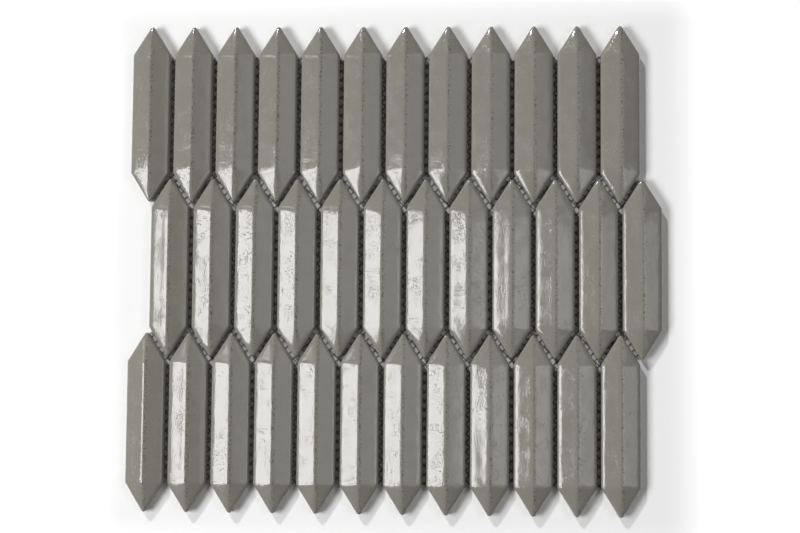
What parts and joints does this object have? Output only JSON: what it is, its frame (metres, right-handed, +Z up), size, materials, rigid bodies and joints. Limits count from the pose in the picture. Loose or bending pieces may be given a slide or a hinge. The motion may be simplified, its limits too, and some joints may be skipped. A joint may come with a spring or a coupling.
{
  "type": "picket mosaic tile",
  "caption": "Mosaic sheet of long pointed hexagonal glazed ceramic tiles with faceted ridged faces, set in staggered rows on a thin glass-fibre mesh for bonding to a wall.",
  "frame": {"origin": "middle of the sheet on the underside of the mesh", "axes": "+X along the rows of pickets, +Y along each picket towards the first row, +Z up out of the glazed faces"},
  "size_m": [0.2976, 0.273, 0.0096],
  "materials": {
    "glaze": "glossy warm grey glaze",
    "mesh": "open glass-fibre scrim"
  },
  "bodies": {
    "root": {"backing_mesh": "mesh", "picket_r1_c01": "glaze", "picket_r1_c02": "glaze", "picket_r1_c03": "glaze", "picket_r1_c04": "glaze", "picket_r1_c05": "glaze", "picket_r1_c06": "glaze", "picket_r1_c07": "glaze", "picket_r1_c08": "glaze", "picket_r1_c09": "glaze", "picket_r1_c10": "glaze", "picket_r1_c11": "glaze", "picket_r1_c12": "glaze", "picket_r2_c01": "glaze", "picket_r2_c02": "glaze", "picket_r2_c03": "glaze", "picket_r2_c04": "glaze", "picket_r2_c05": "glaze", "picket_r2_c06": "glaze", "picket_r2_c07": "glaze", "picket_r2_c08": "glaze", "picket_r2_c09": "glaze", "picket_r2_c10": "glaze", "picket_r2_c11": "glaze", "picket_r2_c12": "glaze", "picket_r3_c01": "glaze", "picket_r3_c02": "glaze", "picket_r3_c03": "glaze", "picket_r3_c04": "glaze", "picket_r3_c05": "glaze", "picket_r3_c06": "glaze", "picket_r3_c07": "glaze", "picket_r3_c08": "glaze", "picket_r3_c09": "glaze", "picket_r3_c10": "glaze", "picket_r3_c11": "glaze", "picket_r3_c12": "glaze"}
  },
  "joints": []
}
